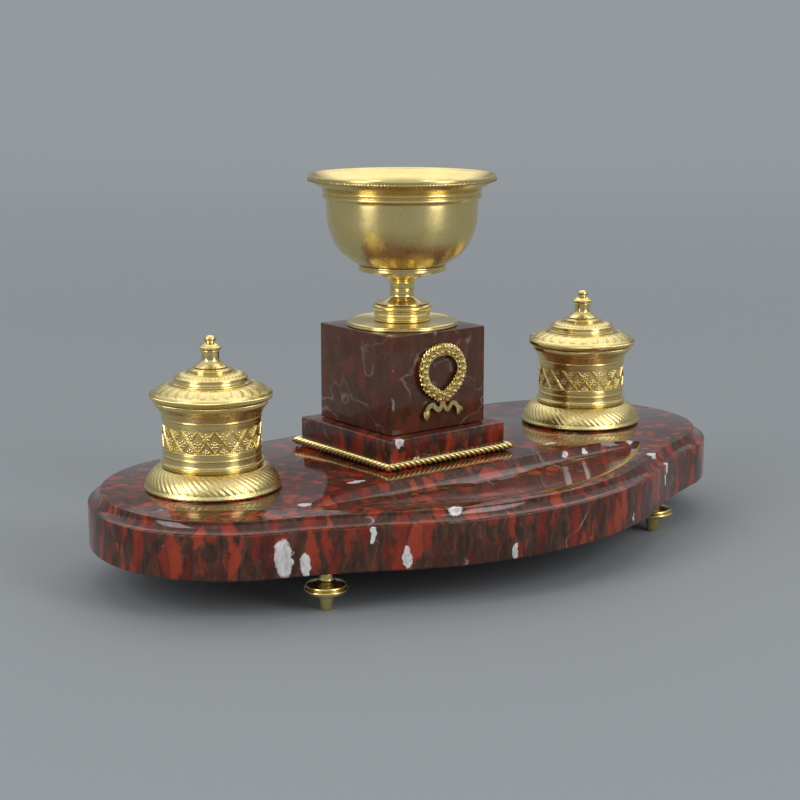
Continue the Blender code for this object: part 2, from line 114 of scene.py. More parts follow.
def new_material(name):
    """A node material, its tree, its Principled shader and the place on the object."""
    made = bpy.data.materials.new(name)
    made.use_nodes = True
    tree = made.node_tree
    return made, tree, tree.nodes["Principled BSDF"], add(tree, "TexCoord").outputs["Object"]


def ramp(tree, factor, stops):
    """A colour ramp through (position, hex or grey) stops."""
    node = add(tree, "ValToRGB", {"Fac": factor})
    while len(node.color_ramp.elements) < len(stops):
        node.color_ramp.elements.new(1.0)
    for element, (position, shade) in zip(node.color_ramp.elements, stops):
        element.position = position
        element.color = colour(shade) if isinstance(shade, str) else (shade, shade, shade, 1.0)
    return node


print("linear mid grey:", [round(c, 3) for c in colour("#808080")])

# %% [markdown]
# ## Gilt bronze
# The metal is cast bronze, turned or chased, then gilded with a pale, slightly green gold.  Gold
# has no colour of its own other than its reflections, so the base colour is light and the
# surroundings do the rest.  Burnished rings were rubbed bright with a polished stone, satin
# surfaces still have the lathe's fine lines round them, chased ones were stippled with a punch,
# and the grounds behind the ornament were matted so that they stay dark.
# Lathe lines follow the radius and height from the piece's own axis, so they close round it.
# They are really about 0.1 mm apart; they are drawn 1.2 mm apart so that they show.

# %% Gilt bronze finishes
GOLD = "#EAD592"
GOLD_DEEP = "#D3B568"
LATHE_LINE = 1.2 * MM
PUNCH_PITCH = 0.6 * MM


def gilt(name, roughness, axis=None, lines=0.0, punched=0.0, tarnish=0.3, light=GOLD,
         dark=GOLD_DEEP):
    """Gilt bronze; lines and punch marks are depths in metres, axis a turned piece's middle."""
    made, tree, shader, place = new_material(name)
    cloud = add(tree, "TexNoise", {"Vector": place, "Scale": 60.0, "Detail": 4.0,
                                   "Roughness": 0.55})
    patch = add(tree, "MapRange", {"Value": cloud, "From Min": 0.45, "From Max": 0.72,
                                   "To Max": tarnish})
    tone = add(tree, "Mix", {"Factor": patch, "A": colour(light), "B": colour(dark)},
               data_type='RGBA')
    wear = add(tree, "TexNoise", {"Vector": place, "Scale": 220.0, "Detail": 3.0})
    rough = add(tree, "MapRange", {"Value": wear, "From Min": 0.3, "From Max": 0.7,
                                   "To Min": roughness - 0.025, "To Max": roughness + 0.05})
    feed(tree, shader, {"Metallic": 1.0, "Base Color": tone, "Roughness": rough})
    bumps = {}
    if lines:
        centred = add(tree, "VectorMath", {0: place, 1: tuple(axis)}, operation='SUBTRACT')
        flat = add(tree, "VectorMath", {0: centred, 1: (1.0, 1.0, 0.0)}, operation='MULTIPLY')
        radius = add(tree, "VectorMath", {0: flat}, operation='LENGTH')
        height = add(tree, "SeparateXYZ", {"Vector": place}).outputs["Z"]
        turned_at = add(tree, "CombineXYZ", {"X": radius, "Z": height})
        groove = add(tree, "TexNoise", {"Vector": turned_at, "Scale": 1 / LATHE_LINE,
                                        "Detail": 2.0, "Roughness": 0.7})
        bumps["Normal"] = add(tree, "Bump", {"Height": groove, "Distance": lines})
        around = add(tree, "Tangent", direction_type='RADIAL', axis='Z')
        feed(tree, shader, {"Anisotropic": 0.8, "Anisotropic Rotation": 0.25, "Tangent": around})
    if punched:
        dots = add(tree, "TexVoronoi", {"Vector": place, "Scale": 1 / PUNCH_PITCH})
        bumps["Normal"] = add(tree, "Bump", {"Height": dots, "Distance": punched, **bumps})
    feed(tree, shader, bumps)
    return made


burnished_gilt = gilt("burnished_gilt_bronze", 0.19, tarnish=0.2)
matted_gilt = gilt("matted_gilt_bronze_ground", 0.34, punched=0.14 * MM, tarnish=0.7,
                   light="#DCC887", dark="#B8A05C")
chased_gilt = gilt("chased_gilt_bronze", 0.27, punched=0.07 * MM)
cast_gilt = gilt("cast_gilt_bronze", 0.24, punched=0.03 * MM, tarnish=0.4)
cup_gilt = gilt("satin_turned_gilt_bronze_cup", 0.27, plinth_at, lines=0.010 * MM)
well_gilt = {side: gilt("satin_turned_gilt_bronze_" + side, 0.25, well_at[side], lines=0.009 * MM)
             for side in ("left", "right")}
print("gilt finishes:", [m.name for m in bpy.data.materials if "gilt" in m.name])

# %% [markdown]
# ## Griotte marble
# Griotte is a red nodular limestone: rust and blood-red nodules, drawn out in the beds, lie in a
# dark grey-brown matrix, with white calcite eyes and hair-fine white veins.  It is solid stone,
# so the pattern is three-dimensional and the same nodule turns the corner from side to top.
# Cells of a Voronoi texture stand for the nodules.  Their coordinates are squeezed in height,
# which draws the nodules out upwards, and bent by a noise so that no outline is round.

# %% Griotte marble
def stirred(tree, place, scale, detail, roughness, reach):
    """Places pushed about by a noise, which makes the outline of what reads them ragged."""
    push = add(tree, "TexNoise", {"Vector": place, "Scale": scale, "Detail": detail,
                                  "Roughness": roughness})
    push = add(tree, "VectorMath", {0: push.outputs["Color"], 1: (0.5, 0.5, 0.5)},
               operation='SUBTRACT')
    push = add(tree, "VectorMath", {0: push, "Scale": reach}, operation='SCALE')
    return add(tree, "VectorMath", {0: place, 1: push}, operation='ADD')


def griotte(name, nodule, stretch, cover, nodule_stops, matrix_stops, eyes=(), veins=1.0,
            vein_width=0.005, vein_from=0.55,
            calcite_stops=((0.35, "#B5AFAB"), (0.62, "#E4E0DC")), offset=(0.0, 0.0, 0.0)):
    """Polished griotte; nodule is a typical width in metres, cover how much of it is red."""
    made, tree, shader, place = new_material(name)
    bent = stirred(tree, place, 0.55 / nodule, 3.0, 0.55, nodule * 1.1)
    drawn = add(tree, "Mapping", {"Vector": bent, "Location": offset,
                                  "Scale": (1.0, 1.0, 1.0 / stretch)})
    # Each cell is one nodule: its own chance says how far the red reaches and how light it is.
    cells = add(tree, "TexVoronoi", {"Vector": drawn, "Scale": 1 / nodule})
    chance = add(tree, "SeparateColor", {"Color": cells.outputs["Color"]})
    reach = add(tree, "MapRange", {"Value": chance, "To Min": cover - 0.22, "To Max": cover + 0.22})
    mottle = add(tree, "TexNoise", {"Vector": drawn, "Scale": 2.2 / nodule, "Detail": 5.0,
                                    "Roughness": 0.62})
    fray = add(tree, "Math", {0: mottle, 1: 0.5}, operation='SUBTRACT')
    edge = add(tree, "Math", {0: fray, 1: 0.6, 2: reach}, operation='MULTIPLY_ADD')
    inside = add(tree, "Math", {0: edge, 1: cells}, operation='SUBTRACT')
    red_mask = add(tree, "MapRange", {"Value": inside, "From Min": -0.06, "From Max": 0.10})
    heart = add(tree, "Math", {0: inside, 1: 0.55, 2: mottle}, operation='MULTIPLY_ADD')
    shade = add(tree, "Math", {0: chance.outputs["Green"], 1: heart}, operation='ADD')
    half = add(tree, "Math", {0: shade, 1: 0.5}, operation='MULTIPLY')
    nodule_colour = ramp(tree, half, nodule_stops)
    # Crumbs of the same red lie faintly in the matrix.
    small = add(tree, "TexVoronoi", {"Vector": drawn, "Scale": 2.3 / nodule})
    crumbs = ramp(tree, small, [(0.24, 1.0), (0.42, 0.0)])
    speckle = ramp(tree, mottle, [(0.40, 0.25), (0.60, 0.9)])
    faint = add(tree, "Math", {0: crumbs, 1: speckle}, operation='MULTIPLY')
    ground = add(tree, "Mix", {"Factor": faint, "A": ramp(tree, mottle, matrix_stops),
                               "B": nodule_colour}, data_type='RGBA')
    stone = add(tree, "Mix", {"Factor": red_mask, "A": ground, "B": nodule_colour},
                data_type='RGBA')
    # A vein runs wherever a slow noise passes through its middle value.
    course = add(tree, "TexNoise", {"Vector": bent, "Scale": 22.0, "Detail": 3.0, "Roughness": 0.5})
    away = add(tree, "Math", {0: course, 1: 0.5}, operation='SUBTRACT')
    away = add(tree, "Math", {0: away}, operation='ABSOLUTE')
    gate = add(tree, "TexNoise", {"Vector": place, "Scale": 38.0, "Detail": 2.0})
    thread = ramp(tree, away, [(0.0, 1.0), (vein_width, 0.0)])
    gate = ramp(tree, gate, [(vein_from, 0.0), (vein_from + 0.11, veins)])
    white = add(tree, "Math", {0: thread, 1: gate}, operation='MULTIPLY')
    # An eye is a ragged ellipsoid of calcite.
    near = stirred(tree, place, 300.0, 4.0, 0.5, 4.5 * MM)
    for centre, size in eyes:
        off = add(tree, "VectorMath", {0: near, 1: [c * MM for c in centre]}, operation='SUBTRACT')
        share = add(tree, "VectorMath", {0: off, 1: [s * MM for s in size]}, operation='DIVIDE')
        far = add(tree, "VectorMath", {0: share}, operation='LENGTH')
        eye = add(tree, "MapRange", {"Value": far, "From Min": 1.08, "From Max": 0.92})
        white = add(tree, "Math", {0: white, 1: eye}, operation='MAXIMUM')
    face = add(tree, "Mix", {"Factor": white, "A": stone, "B": ramp(tree, mottle, calcite_stops)},
               data_type='RGBA')
    smears = add(tree, "TexNoise", {"Vector": place, "Scale": 55.0, "Detail": 4.0})
    polish = add(tree, "MapRange", {"Value": smears, "To Min": 0.05, "To Max": 0.13})
    feed(tree, shader, {"Base Color": face, "Roughness": polish, "IOR": 1.5})
    return made


# Eyes of white calcite, as (place, half size) in millimetres.
SLAB_EYES = (((-128.3, -48.9, 28.0), (4.2, 4.2, 8.8)), ((-119.2, -52.4, 24.8), (2.5, 2.5, 5.2)),
             ((-78.2, -72.4, 25.8), (1.9, 1.9, 4.8)), ((-29.3, -89.1, 23.4), (1.6, 1.6, 4.0)),
             ((-91.6, -65.2, 36.6), (1.8, 1.8, 3.6)), ((-56.1, -78.2, 45.0), (4.6, 3.4, 3.4)),
             ((89.5, -60.0, 45.0), (3.0, 4.6, 2.0)), ((90.0, -65.0, 43.0), (2.4, 2.6, 2.2)),
             ((96.0, -62.9, 38.0), (1.4, 1.6, 4.0)), ((94.4, -63.9, 32.0), (1.0, 1.2, 3.6)),
             ((61.7, -24.7, 42.4), (2.8, 1.6, 2.6)), ((75.0, -25.4, 42.1), (1.8, 1.4, 2.8)),
             ((101.0, -33.5, 45.0), (2.4, 3.6, 1.2)), ((65.1, -9.8, 45.0), (4.6, 1.4, 1.2)),
             ((-61.0, -12.1, 45.0), (4.8, 2.2, 1.6)), ((-104.0, -31.0, 45.0), (3.6, 2.6, 1.6)),
             ((51.9, -83.7, 24.0), (0.8, 0.8, 2.8)), ((14.6, -91.1, 44.0), (0.9, 1.2, 3.0)))
STEP_EYES = (((-30.5, -5.4, 58.2), (3.0, 2.2, 2.4)), ((-20.6, -5.4, 48.6), (2.4, 1.6, 2.6)))
BLOCK_EYES = (((-28.8, 1.4, 76.0), (0.9, 0.7, 3.0)), ((-28.8, 1.4, 92.9), (0.5, 0.5, 1.3)))
RED_NODULES = [(0.26, "#42160C"), (0.42, "#621F0F"), (0.58, "#7F2A14"), (0.76, "#96371D")]
DARK_MATRIX = [(0.32, "#2B1910"), (0.5, "#462A1C"), (0.68, "#633E2B")]
slab_marble = griotte("polished_griotte_marble_slab", 6.6 * MM, 3.4, 0.48, RED_NODULES,
                      DARK_MATRIX, SLAB_EYES, veins=0.5)
step_marble = griotte("polished_griotte_marble_step", 7.0 * MM, 2.4, 0.52, RED_NODULES,
                      DARK_MATRIX, STEP_EYES, veins=0.25, offset=(0.02, 0.05, 0.01))
BROWN_NODULES = [(0.3, "#482315"), (0.5, "#562A1B"), (0.72, "#66311F")]
BROWN_MATRIX = [(0.3, "#44281B"), (0.55, "#543323"), (0.75, "#654331")]
block_marble = griotte("polished_griotte_marble_block", 12 * MM, 1.4, 0.36, BROWN_NODULES,
                       BROWN_MATRIX, BLOCK_EYES, veins=0.6, vein_width=0.009, vein_from=0.40,
                       calcite_stops=((0.35, "#6E5F57"), (0.62, "#A0948B")),
                       offset=(0.07, 0.01, 0.03))
print("marbles:", [m.name for m in (slab_marble, step_marble, block_marble)])

# %% [markdown]
# ## Porcelain and steel
# The ink is held in a white glazed porcelain cup inside each well: smooth, hard and glossy.
# The rods, washers and nuts under the slab are plain steel that has gone dark with age.

# %% Porcelain and dark steel
def simple_finish(name, light, dark, scale, roughness, metallic=0.0, coat=0.0):
    """A two-tone mottled surface with small changes of gloss."""
    made, tree, shader, place = new_material(name)
    cloud = add(tree, "TexNoise", {"Vector": place, "Scale": scale, "Detail": 4.0})
    gloss = add(tree, "MapRange", {"Value": cloud, "To Min": roughness * 0.8,
                                   "To Max": roughness * 1.3})
    feed(tree, shader, {"Base Color": ramp(tree, cloud, [(0.35, dark), (0.65, light)]),
                        "Roughness": gloss, "Metallic": metallic, "Coat Weight": coat})
    return made


porcelain = simple_finish("white_glazed_porcelain", "#EFEDE6", "#E2DED3", 160.0, 0.12, coat=0.4)
dark_steel = simple_finish("dark_oxidised_steel", "#8A8580", "#5A534D", 300.0, 0.42, metallic=1.0)
print("finishes:", porcelain.name, dark_steel.name)

# %% [markdown]
# ## Modelling helpers
# A turner draws a profile and spins the work past it; so does this lesson.  A single vertex is
# extruded down the profile, its corners are rounded, and the line is spun round the axis.
# With no window open, rotate and spin turn clockwise for a positive angle, so angles are
# given with their sign changed.

# %% Points, profiles and finishing
def leave_edit():
    if bpy.context.object and bpy.context.object.mode != 'OBJECT':
        bpy.ops.object.mode_set(mode='OBJECT')


def nothing_selected():
    """Leave edit mode and deselect all, because an operator acts on all that is selected."""
    leave_edit()
    bpy.ops.object.select_all(action='DESELECT')


def pick(piece):
    """Select one piece alone and make it active."""
    nothing_selected()
    piece.select_set(True)
    bpy.context.view_layer.objects.active = piece


def edit_all():
    """Go into edit mode with the whole mesh selected."""
    bpy.ops.object.mode_set(mode='EDIT')
    bpy.ops.mesh.select_mode(type='VERT')
    bpy.ops.mesh.select_all(action='SELECT')


def start_point(name, at):
    """A mesh of one vertex, in edit mode, ready to be extruded."""
    nothing_selected()
    bpy.ops.mesh.primitive_plane_add(size=MM, location=at)
    piece = bpy.context.object
    piece.name = name
    edit_all()
    bpy.ops.mesh.merge(type='CENTER')
    return piece


def extrude_by(step):
    bpy.ops.mesh.extrude_region_move(TRANSFORM_OT_translate={"value": step})


def turn_by(degrees, centre, axis='Z'):
    """Turn what is selected anticlockwise about a point."""
    bpy.ops.transform.rotate(value=-math.radians(degrees), orient_axis=axis,
                             center_override=centre)


def select_where(piece, test):
    """Select the vertices whose place passes a test, and go back into edit mode."""
    edit_all()
    bpy.ops.mesh.select_all(action='DESELECT')
    leave_edit()
    for vertex in piece.data.vertices:
        vertex.select = bool(test(piece.matrix_world @ vertex.co))
    bpy.ops.object.mode_set(mode='EDIT')


def settle(piece):
    """Put the piece's place and turn into its mesh, with doubles merged and faces outwards."""
    pick(piece)
    bpy.ops.object.transform_apply()
    edit_all()
    bpy.ops.mesh.remove_doubles(threshold=0.002 * MM)
    bpy.ops.mesh.normals_make_consistent(inside=False)
    leave_edit()


def modified(piece, kind, **settings):
    """Add a modifier with its settings, and apply it."""
    pick(piece)
    modifier = piece.modifiers.new(kind.lower(), kind)
    for key, value in settings.items():
        setattr(modifier, key, value)
    bpy.ops.object.modifier_apply(modifier=modifier.name)


def finished(piece, finish, nodes=(), body=BODY, angle=32.0):
    """Give a settled piece its shading, finish and body, and hide the CAD nodes it replaces."""
    pick(piece)
    piece.data.name = piece.name
    bpy.ops.object.shade_smooth_by_angle(angle=math.radians(angle))
    piece.data.materials.clear()
    piece.data.materials.append(finish)
    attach(piece, body)
    if nodes:
        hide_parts(*nodes)
    return piece


def joined(name, pieces):
    """Join several meshes into one named piece."""
    nothing_selected()
    for piece in pieces:
        piece.select_set(True)
    bpy.context.view_layer.objects.active = pieces[0]
    bpy.ops.object.join()
    pieces[0].name = name
    return pieces[0]


def duplicated(piece, place, turn):
    """A copy of a piece with its own mesh, at a place and turned by three angles."""
    pick(piece)
    bpy.ops.object.duplicate()
    made = bpy.context.object
    made.location = place
    made.rotation_euler = turn
    return made


def flowing(points, between=4):
    """A smooth line through points, with some more between each two."""
    ends = [points[0]] + list(points) + [points[-1]]
    line = []
    for p, q, r, s in zip(ends, ends[1:], ends[2:], ends[3:]):
        for i in range(between):
            t = i / between
            line.append(tuple(0.5 * (2 * b + (c - a) * t + (2 * a - 5 * b + 4 * c - d) * t * t
                                     + (3 * b - a - 3 * c + d) * t ** 3)
                              for a, b, c, d in zip(p, q, r, s)))
    line.append(tuple(points[-1]))
    return line


def bead(radius, top, bottom, proud, count=6):
    """A half-round moulding standing out from a radius, from its top to its bottom."""
    turns = [math.pi * i / count for i in range(count + 1)]
    half = (top - bottom) / 2
    return [(radius + proud * math.sin(t), bottom + half + half * math.cos(t)) for t in turns]


def turned(name, profile, at, steps, rounding=0.0):
    """Spin a (radius, height) profile in mm; one that starts off the axis closes into a ring."""
    line = list(profile) + ([profile[0]] if profile[0][0] else [])
    points = [Vector(at) + Vector((radius * MM, 0.0, height * MM)) for radius, height in line]
    piece = start_point(name, points[0])
    for here, there in zip(points, points[1:]):
        extrude_by(there - here)
    edit_all()
    bpy.ops.mesh.remove_doubles(threshold=0.002 * MM)
    if rounding:
        bpy.ops.mesh.bevel(offset=rounding * MM, segments=2, affect='VERTICES')
        edit_all()
    bpy.ops.mesh.spin(steps=steps, angle=2 * math.pi, center=at, axis=(0.0, 0.0, 1.0))
    settle(piece)
    return piece


print("helpers ready")

# %% [markdown]
# ## The marble slab
# The mason sawed a slab, cut its bow-fronted outline, ran a hollow moulding (a cove) round the
# top edge and scooped a pen tray along the front.  The outline is a chain of tangent arcs, and
# a vertex spun round an arc's centre draws each one.  The cove is cut by insetting the top face
# and lifting it in small steps along a quarter ellipse.

# %% Slab outline
BOW_RADIUS = 168.6
BOW_TURN = 29.7
FLANK_TURN = 19.1
END_RADIUS = 66.6
half_length = slab_high.x
half_depth = slab_high.y
COVE_WIDTH = 5.7
COVE_HEIGHT = 5.2


def outwards(degrees):
    """The direction from an arc's centre: 0 is the front, 90 the right-hand end."""
    turn = math.radians(degrees)
    return Vector((math.sin(turn), -math.cos(turn), 0.0))


bow_radius, end_radius = BOW_RADIUS * MM, END_RADIUS * MM
bow = Vector((0.0, bow_radius - half_depth, 0.0))
bow_end = bow + bow_radius * outwards(BOW_TURN)
corner_x = half_length - end_radius
run = corner_x + end_radius * outwards(FLANK_TURN).x - bow_end.x
flank_radius = run / (outwards(BOW_TURN).x - outwards(FLANK_TURN).x)
flank = bow_end + flank_radius * outwards(BOW_TURN)
flank_end = flank - flank_radius * outwards(FLANK_TURN)
corner = Vector((corner_x, flank_end.y - end_radius * outwards(FLANK_TURN).y, 0.0))
back_radius = half_depth - corner.y
back = Vector((half_length - back_radius, corner.y, 0.0))
cove_z = slab_high.z - COVE_HEIGHT * MM

UNDER_EASE = 0.7 * MM
slab = start_point("marble_slab", (0.0, -half_depth, slab_low.z + UNDER_EASE))
for centre, turn, steps in ((bow, BOW_TURN, 24), (flank, FLANK_TURN - BOW_TURN, 10),
                            (corner, 90 - FLANK_TURN, 30), (back, 90.0, 36)):
    bpy.ops.mesh.spin(steps=steps, angle=-math.radians(turn), center=centre,
                      axis=(0.0, 0.0, 1.0))
extrude_by((-back.x, 0.0, 0.0))
edit_all()
bpy.ops.mesh.duplicate()
bpy.ops.transform.resize(value=(-1.0, 1.0, 1.0), center_override=(0.0, 0.0, 0.0))
edit_all()
bpy.ops.mesh.remove_doubles(threshold=0.01 * MM)
bpy.ops.mesh.edge_face_add()
print("slab outline vertices:", len(slab.data.vertices), "back radius mm:",
      round(back_radius / MM, 1))

# %% Slab sides and cove
extrude_by((0.0, 0.0, cove_z - slab_low.z - UNDER_EASE))
COVE_STEPS = 9
for i in range(COVE_STEPS):
    now, after = math.pi / 2 * i / COVE_STEPS, math.pi / 2 * (i + 1) / COVE_STEPS
    inset = COVE_WIDTH * MM * (math.sin(after) - math.sin(now))
    lift = COVE_HEIGHT * MM * (math.cos(now) - math.cos(after))
    bpy.ops.mesh.inset(thickness=inset, use_even_offset=True)
    bpy.ops.transform.translate(value=(0.0, 0.0, lift))
leave_edit()
select_where(slab, lambda p: p.z < slab_low.z + 0.8 * MM)
bpy.ops.mesh.inset(thickness=UNDER_EASE, use_even_offset=True)
bpy.ops.transform.translate(value=(0.0, 0.0, -UNDER_EASE))
settle(slab)
modified(slab, 'BEVEL', width=0.35 * MM, segments=3, limit_method='ANGLE',
         angle_limit=math.radians(40))
print("slab faces:", len(slab.data.polygons), "height mm:", round((slab_high.z - slab_low.z) / MM, 2))

# %% [markdown]
# ## The pen tray
# The tray is a long crescent, steep at its back edge and gently sloped in front.  A fine grid
# is bent onto the shape of its floor, closed upwards into a solid, and cut out of the slab.

# %% Pen tray cut
TRAY_HALF = 105.0
TRAY_BACK = -23.2
TRAY_FRONT = -79.6
TRAY_TIP = -35.2
TRAY_DEPTH = 6.0
TRAY_ACROSS = flowing([(0.0, 0.0), (0.03, 0.42), (0.08, 0.72), (0.15, 0.92), (0.24, 1.0),
                       (0.42, 0.93), (0.62, 0.70), (0.82, 0.36), (1.0, 0.0)], 3)
tray_rise = TRAY_TIP - TRAY_FRONT
tray_radius = (TRAY_HALF ** 2 + tray_rise ** 2) / (2 * tray_rise)
nothing_selected()
bpy.ops.mesh.primitive_grid_add(x_subdivisions=96, y_subdivisions=len(TRAY_ACROSS) - 1, size=2.0,
                                location=(0.0, 0.0, 0.0))
tray = bpy.context.object
tray.name = "tray_cutter"
for vertex in tray.data.vertices:
    along = math.sin(math.pi / 2 * vertex.co.x)
    share, deep = TRAY_ACROSS[round((vertex.co.y + 1) / 2 * (len(TRAY_ACROSS) - 1))]
    x = TRAY_HALF * along
    back_y = TRAY_BACK + (TRAY_TIP - TRAY_BACK) * abs(along) ** 10
    front_y = TRAY_FRONT + tray_radius - math.sqrt(tray_radius ** 2 - x ** 2)
    width = max(back_y - front_y, 0.4)
    depth = TRAY_DEPTH * math.sqrt(max(1 - along ** 4, 0.0004))
    vertex.co = (x * MM, (back_y - share * width) * MM, slab_high.z - deep * depth * MM)
edit_all()
extrude_by((0.0, 0.0, 9.0 * MM))
settle(tray)
modified(slab, 'BOOLEAN', operation='DIFFERENCE', solver='EXACT', object=tray)
bpy.data.objects.remove(tray)
settle(slab)
finished(slab, slab_marble, ["marble_base"], angle=28)
print("slab with tray, faces:", len(slab.data.polygons))

# %% [markdown]
# ## Step and block
# Two squared pieces of marble stand on the slab.  The step's top arris is rounded by hand with
# a stone, the block's edges are only eased.  A cube is scaled to each CAD box and its edges
# are bevelled by the two different amounts.

# %% Plinth step and block
def squared(name, node, finish, ease):
    """A squared stone with eased edges, filling a CAD node's box."""
    low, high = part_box(node)
    nothing_selected()
    bpy.ops.mesh.primitive_cube_add(size=1.0, location=(low + high) / 2)
    piece = bpy.context.object
    piece.name = name
    piece.scale = high - low
    settle(piece)
    modified(piece, 'BEVEL', width=ease * MM, segments=4)
    finished(piece, finish, [node], angle=40)


squared("marble_step", "plinth_step", step_marble, 1.1)
squared("marble_block", "plinth_block", block_marble, 0.45)
print("step and block done")

# %% [markdown]
# ## Rope border
# A cast and chased rope lies round the foot of the step.  It reads as three strands, so three
# round wires are screwed along the rope's length.  The four lengths are cut at 45 degrees to
# meet in mitres, and the twist is mirrored from one side to the next.

# %% Rope border
ROPE_STRAND = 1.10
ROPE_ORBIT = 0.94
ROPE_PITCH = 9.5
ROPE_TUCK = 0.4 * MM
rope_low, rope_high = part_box("rope_border_front")
rope_axis_y = (rope_low.y + rope_high.y) / 2 + ROPE_TUCK
rope_axis_z = (rope_low.z + rope_high.z) / 2 + ROPE_TUCK
rope_half = plinth_at.y - rope_axis_y


def rope_side(name, node, quarter, hand):
    """One mitred length, modelled along the front and turned to its side."""
    strands = []
    for strand in range(3):
        nothing_selected()
        lean = math.radians(120 * strand)
        start = Vector((-rope_half - 3 * MM, rope_axis_y + ROPE_ORBIT * MM * math.cos(lean),
                        rope_axis_z + ROPE_ORBIT * MM * math.sin(lean)))
        bpy.ops.mesh.primitive_circle_add(vertices=9, radius=ROPE_STRAND * MM, location=start,
                                          rotation=(0.0, math.pi / 2, 0.0), fill_type='NOTHING')
        piece = bpy.context.object
        bpy.ops.object.transform_apply()
        edit_all()
        length = 2 * rope_half + 6 * MM
        count = 170
        for _ in range(count):
            extrude_by((length / count, 0.0, 0.0))
            turn_by(hand * 360 * length / (ROPE_PITCH * MM) / count,
                    (0.0, rope_axis_y, rope_axis_z), 'X')
        strands.append(piece)
    rope = joined(name, strands)
    settle(rope)
    for end in (-1, 1):
        edit_all()
        bpy.ops.mesh.bisect(plane_co=(end * (rope_half - 0.1 * MM), rope_axis_y, 0.0),
                            plane_no=(end, 1.0, 0.0), use_fill=True, clear_outer=True)
        leave_edit()
    edit_all()
    turn_by(90 * quarter, plinth_at)
    settle(rope)
    finished(rope, burnished_gilt, [node], angle=50)


for quarter, place in enumerate(("front", "right", "back", "left")):
    rope_side("rope_" + place, "rope_border_" + place, quarter, 1 if quarter % 2 == 0 else -1)
print("rope half length mm:", round(rope_half / MM, 2))

# %% [markdown]
# ## The cup
# The cup was turned in five pieces that stack on one rod.  Each profile keeps to the CAD
# stack, with the beads, fillets and hollows that a lathe tool leaves.

# %% Cup foot, knop and stem
BORE = 3.0
base_line = [(BORE, 111.2), (25.6, 111.0), (25.9, 111.2), (27.3, 111.2), (27.9, 110.8),
             (28.0, 110.4), (27.7, 110.1), (28.0, 109.8), (28.0, 109.1), (BORE, 109.1)]
finished(turned("cup_base", base_line, plinth_at, 128, 0.08), cup_gilt, ["cup_base_plate"])
knop_line = ([(BORE, 119.6), (13.8, 119.6)] + bead(13.6, 119.4, 116.6, 1.5, 8)
             + [(13.9, 116.3), (13.7, 115.2), (14.2, 114.6), (14.2, 113.6)]
             + bead(13.6, 113.2, 112.2, 0.5, 4) + [(14.2, 111.9), (14.2, 111.5), (BORE, 111.5)])
finished(turned("cup_knop_turned", knop_line, plinth_at, 96, 0.08), burnished_gilt, ["cup_knop"])
stem_line = ([(BORE, 136.0), (10.8, 136.0), (10.8, 134.2)]
             + flowing([(10.4, 133.6), (8.9, 132.5), (7.2, 131.4), (6.3, 130.2), (6.1, 128.4)], 4)
             + bead(5.9, 127.7, 126.5, 0.5, 4)
             + flowing([(6.0, 126.2), (6.0, 124.6), (6.4, 123.2), (8.2, 121.8), (11.0, 120.8),
                        (13.5, 120.3)], 4)
             + [(13.6, 119.9), (BORE, 119.9)])
finished(turned("cup_stem_turned", stem_line, plinth_at, 96, 0.06), burnished_gilt, ["cup_stem"])
print("cup foot, knop and stem done")

# %% Cup collar and bowl
collar_line = [(BORE, 139.3), (21.4, 139.3), (22.0, 139.1), (22.1, 138.7), (21.7, 138.4),
               (21.8, 137.6), (22.1, 137.3), (22.1, 136.8), (21.5, 136.3), (BORE, 136.3)]
cup_collar = turned("cup_collar_turned", collar_line, plinth_at, 128, 0.06)
finished(cup_collar, burnished_gilt, ["cup_collar"])
bowl_side = flowing([(37.9, 171.6), (37.9, 168.4), (37.4, 161.2), (36.4, 156.6), (34.1, 150.8),
                     (30.6, 145.7), (25.9, 142.0), (22.4, 139.6)], 5)
bowl_rim = ([(45.4, 183.4), (46.2, 184.1), (46.8, 184.1), (47.1, 183.7), (47.1, 182.6),
             (46.6, 182.2), (45.8, 181.6)]
            + flowing([(45.2, 181.1), (43.4, 179.6), (41.6, 178.6), (39.9, 177.8)], 3)
            + [(39.3, 177.3)])
bowl_beads = (bead(39.1, 177.0, 175.0, 0.7, 6) + [(39.0, 174.8)]
              + bead(39.0, 174.6, 172.6, 0.9, 6) + [(38.2, 172.3)])
bowl_inside = flowing([(20.4, 142.1), (25.0, 144.1), (29.2, 147.4), (32.5, 151.8), (34.8, 157.4),
                       (35.8, 161.8), (36.5, 169.2), (37.2, 177.2)], 4)
bowl_lip = flowing([(37.4, 178.0), (39.0, 179.4), (41.4, 180.7), (45.2, 183.2)], 4)
bowl_line = (bowl_rim + bowl_beads + bowl_side + [(BORE, 139.6), (BORE, 142.1)] + bowl_inside
             + bowl_lip)
cup_bowl = turned("cup_bowl_turned", bowl_line, plinth_at, 160, 0.06)
finished(cup_bowl, cup_gilt, ["cup_bowl"])
nut_line = (flowing([(0.0, 149.5), (2.8, 149.0), (4.6, 147.8), (5.4, 145.9), (5.4, 143.7)], 4)
            + bead(5.9, 143.4, 142.4, 0.7, 4) + [(2.7, 142.4), (2.7, 147.6), (0.0, 147.6)])
cap_nut = turned("cup_cap_nut_turned", nut_line, plinth_at, 48)
finished(cap_nut, burnished_gilt, ["cup_cap_nut"])
print("bowl faces:", len(cup_bowl.data.polygons))

# %% [markdown]
# ## Fluted and milled rings
# A milling wheel pressed against the turning work leaves a row of fine teeth, and a punch
# leaves slanting flutes.  A circle is extruded down the profile, ring by ring, turned a little
# at each step where the flutes slant, and then chosen columns are pushed outwards.

